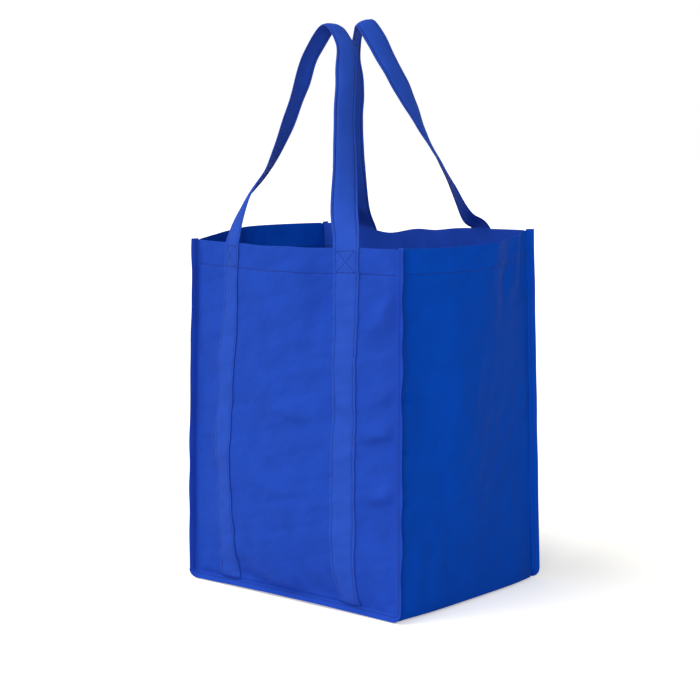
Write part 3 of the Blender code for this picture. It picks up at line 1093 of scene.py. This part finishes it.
def cloth_material(name, colour):
    """Spun-bonded cloth: fibres, a lattice of small bonded dents and faint clouds of colour."""
    material, tree, shader = new_material(name)
    place = add_node(tree, "UVMap", {}, uv_map="cloth").outputs[0]

    turn = (0, 0, math.radians(45))
    lattice = add_node(tree, "Mapping", {"Vector": place, "Rotation": turn, "Scale": DENT_LATTICE})
    inputs = {"Vector": lattice.outputs[0], "Scale": 1.0, "Randomness": 0.0}
    dents = add_node(tree, "TexVoronoi", inputs, voronoi_dimensions="2D")
    inputs = {"Value": dents.outputs["Distance"], "From Min": 0.20, "From Max": 0.36}
    dent = add_node(tree, "MapRange", inputs, interpolation_type="SMOOTHSTEP").outputs[0]

    stretch = add_node(tree, "Mapping", {"Vector": place, "Scale": FIBRE_STRETCH})
    fibres = noise(tree, stretch.outputs[0], 1.0, 3.0, Roughness=0.65, Distortion=0.6)
    inputs = {0: fibres, 1: FIBRE_SHARE, 2: dent}
    relief = add_node(tree, "Math", inputs, operation="MULTIPLY_ADD").outputs[0]
    inputs = {"Strength": 0.35, "Distance": 0.00012, "Height": relief}
    bump = add_node(tree, "Bump", inputs).outputs[0]

    clouds = noise(tree, place, CLOUD_SCALE, 5.0, Roughness=0.6)
    tint = mixed_colour(tree, clouds, *shades_of(colour, CLOTH_UNEVEN))
    inputs = {"Value": dent, "To Min": 0.90, "To Max": 1.02}
    shade = add_node(tree, "MapRange", inputs).outputs[0]
    shaded = mixed_colour(tree, 1.0, tint, shade, blend="MULTIPLY")
    set_inputs(tree, shader, {
        "Base Color": shaded,
        "Roughness": 0.62,
        "Specular IOR Level": 0.03,
        "Normal": bump,
    })
    return material


def thread_material(name):
    """Spun polyester thread with a twist."""
    material, tree, shader = new_material(name)
    place = tree.nodes.new("ShaderNodeTexCoord").outputs["Object"]
    ply = noise(tree, place, PLY_SCALE, 2.0)
    inputs = {"Strength": 0.5, "Distance": 0.0001, "Height": ply}
    bump = add_node(tree, "Bump", inputs).outputs[0]
    # The thread's dark base colour is painted shade for the shadow in the stitch grooves
    set_inputs(tree, shader, {
        "Base Color": mixed_colour(tree, ply, *shades_of(THREAD_COLOUR_WITH_PAINTED_SHADE, THREAD_UNEVEN)),
        "Roughness": 0.55,
        "Specular IOR Level": 0.25,
        "Normal": bump,
    })
    return material


def make_camera():
    """The camera, rolled round its own axis, raised by its pitch and then turned by its yaw."""
    roll = Matrix.Rotation(CAMERA_ROLL, 4, "Z")
    pitch = Matrix.Rotation(math.pi / 2 + CAMERA_PITCH, 4, "X")
    yaw = Matrix.Rotation(-CAMERA_YAW, 4, "Z")
    data = bpy.data.cameras.new("camera")
    data.sensor_width = SENSOR
    data.lens = FOCAL_PIXELS / IMAGE_PIXELS * SENSOR
    camera = new_object("camera", data)
    camera.matrix_world = Matrix.Translation(CAMERA_PLACE) @ yaw @ pitch @ roll
    bpy.context.scene.camera = camera


def make_sun(name, azimuth, elevation, strength, softness):
    """A lamp. Azimuth 0 shines on the front panel, and 90 on the right side."""
    data = bpy.data.lights.new(name, "SUN")
    data.energy = strength
    data.angle = math.radians(softness)
    a, e = math.radians(azimuth), math.radians(elevation)
    back = Vector((math.sin(a) * math.cos(e), -math.cos(a) * math.cos(e), math.sin(e)))
    new_object(name, data).rotation_euler = back.to_track_quat("Z", "Y").to_euler()


def seen_directly(tree):
    """1 for rays that show a surface itself, in a mirror or through glass too, and 0 for light."""
    path = tree.nodes.new("ShaderNodeLightPath")
    total = path.outputs["Is Camera Ray"]
    for name in ("Is Glossy Ray", "Is Transmission Ray"):
        inputs = {0: total, 1: path.outputs[name]}
        total = add_node(tree, "Math", inputs, operation="MAXIMUM").outputs[0]
    return total


def show(tree, output, light, seen):
    """Joins what lights the scene and what is seen directly, and leads them to the output."""
    inputs = {0: seen_directly(tree), 1: light.outputs[0], 2: seen.outputs[0]}
    mix = add_node(tree, "MixShader", inputs)
    set_inputs(tree, tree.nodes[output], {"Surface": mix.outputs[0]})


def make_world():
    """Even pale light from all round, and a white backdrop."""
    world = bpy.data.worlds.new("studio")
    world.use_nodes = True
    tree = world.node_tree
    light = tree.nodes["Background"]
    set_inputs(tree, light, {"Color": WHITE, "Strength": WORLD_STRENGTH})
    seen = add_node(tree, "Background", {"Color": WHITE, "Strength": 1.0})
    show(tree, "World Output", light, seen)
    bpy.context.scene.world = world


def make_floor():
    """A plain pale floor that is seen as white, with the bag's shadow on it."""
    half, low = FLOOR_HALF, FLOOR_LEVEL
    corners = [(-half, -half, low), (half, -half, low), (half, half, low), (-half, half, low)]
    material, tree, paint = new_material("floor_paint")
    set_inputs(tree, paint, {
        "Base Color": FLOOR_PAINT,
        "Roughness": 0.9,
        "Specular IOR Level": 0.0,
    })
    lifted = add_node(tree, "BsdfDiffuse", {"Color": FLOOR_LIFT})
    glow = add_node(tree, "Emission", {"Color": WHITE, "Strength": FLOOR_GLOW})
    inputs = {0: FLOOR_GLOW_SHARE, 1: lifted.outputs[0], 2: glow.outputs[0]}
    show(tree, "Material Output", paint, add_node(tree, "MixShader", inputs))
    floor = new_piece("floor", np.array(corners), np.array([[0, 1, 2, 3]]), None, material)


make_camera()
make_world()
for lamp_name, setting in LAMPS.items():
    make_sun(lamp_name, *setting)
make_floor()

# The panel and strap cloths carry painted highlight in their colours, which the sides' cloth lacks
panel_cloth = cloth_material("panel_cloth", PANEL_COLOUR_WITH_PAINTED_HIGHLIGHT)
gusset_cloth = cloth_material("gusset_cloth", GUSSET_COLOUR)
strap_cloth = cloth_material("strap_cloth", STRAP_COLOUR_WITH_PAINTED_HIGHLIGHT)
thread = thread_material("thread")

front_strap, back_strap = strap_run(FRONT), strap_run(BACK)
front_handle, front_length = make_handle("front_handle_strap", *front_strap[:2], strap_cloth)
back_handle, back_length = make_handle("back_handle_strap", *back_strap[:2], strap_cloth)
pieces = {
    "front_panel": make_panel("front_panel_cloth", FRONT, panel_cloth),
    "back_panel": make_panel("back_panel_cloth", BACK, panel_cloth),
    "gusset": make_gusset("gusset_cloth", gusset_cloth),
    "front_handle": front_handle,
    "back_handle": back_handle,
}
for node, piece in pieces.items():
    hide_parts(node)
    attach(piece, "root")

panel_hems = panel_hem_stitches(FRONT) + panel_hem_stitches(BACK)
side_hems = side_hem_stitches(LEFT) + side_hem_stitches(RIGHT)
sew("hem_thread", panel_hems + side_hems, thread)
sew("front_seam_thread", fin_stitches(FRONT), thread)
sew("back_seam_thread", fin_stitches(BACK), thread)
sew("front_strap_thread", strap_stitches(*front_strap), thread)
sew("back_strap_thread", strap_stitches(*back_strap), thread)

bpy.context.scene.view_settings.view_transform = "Standard"
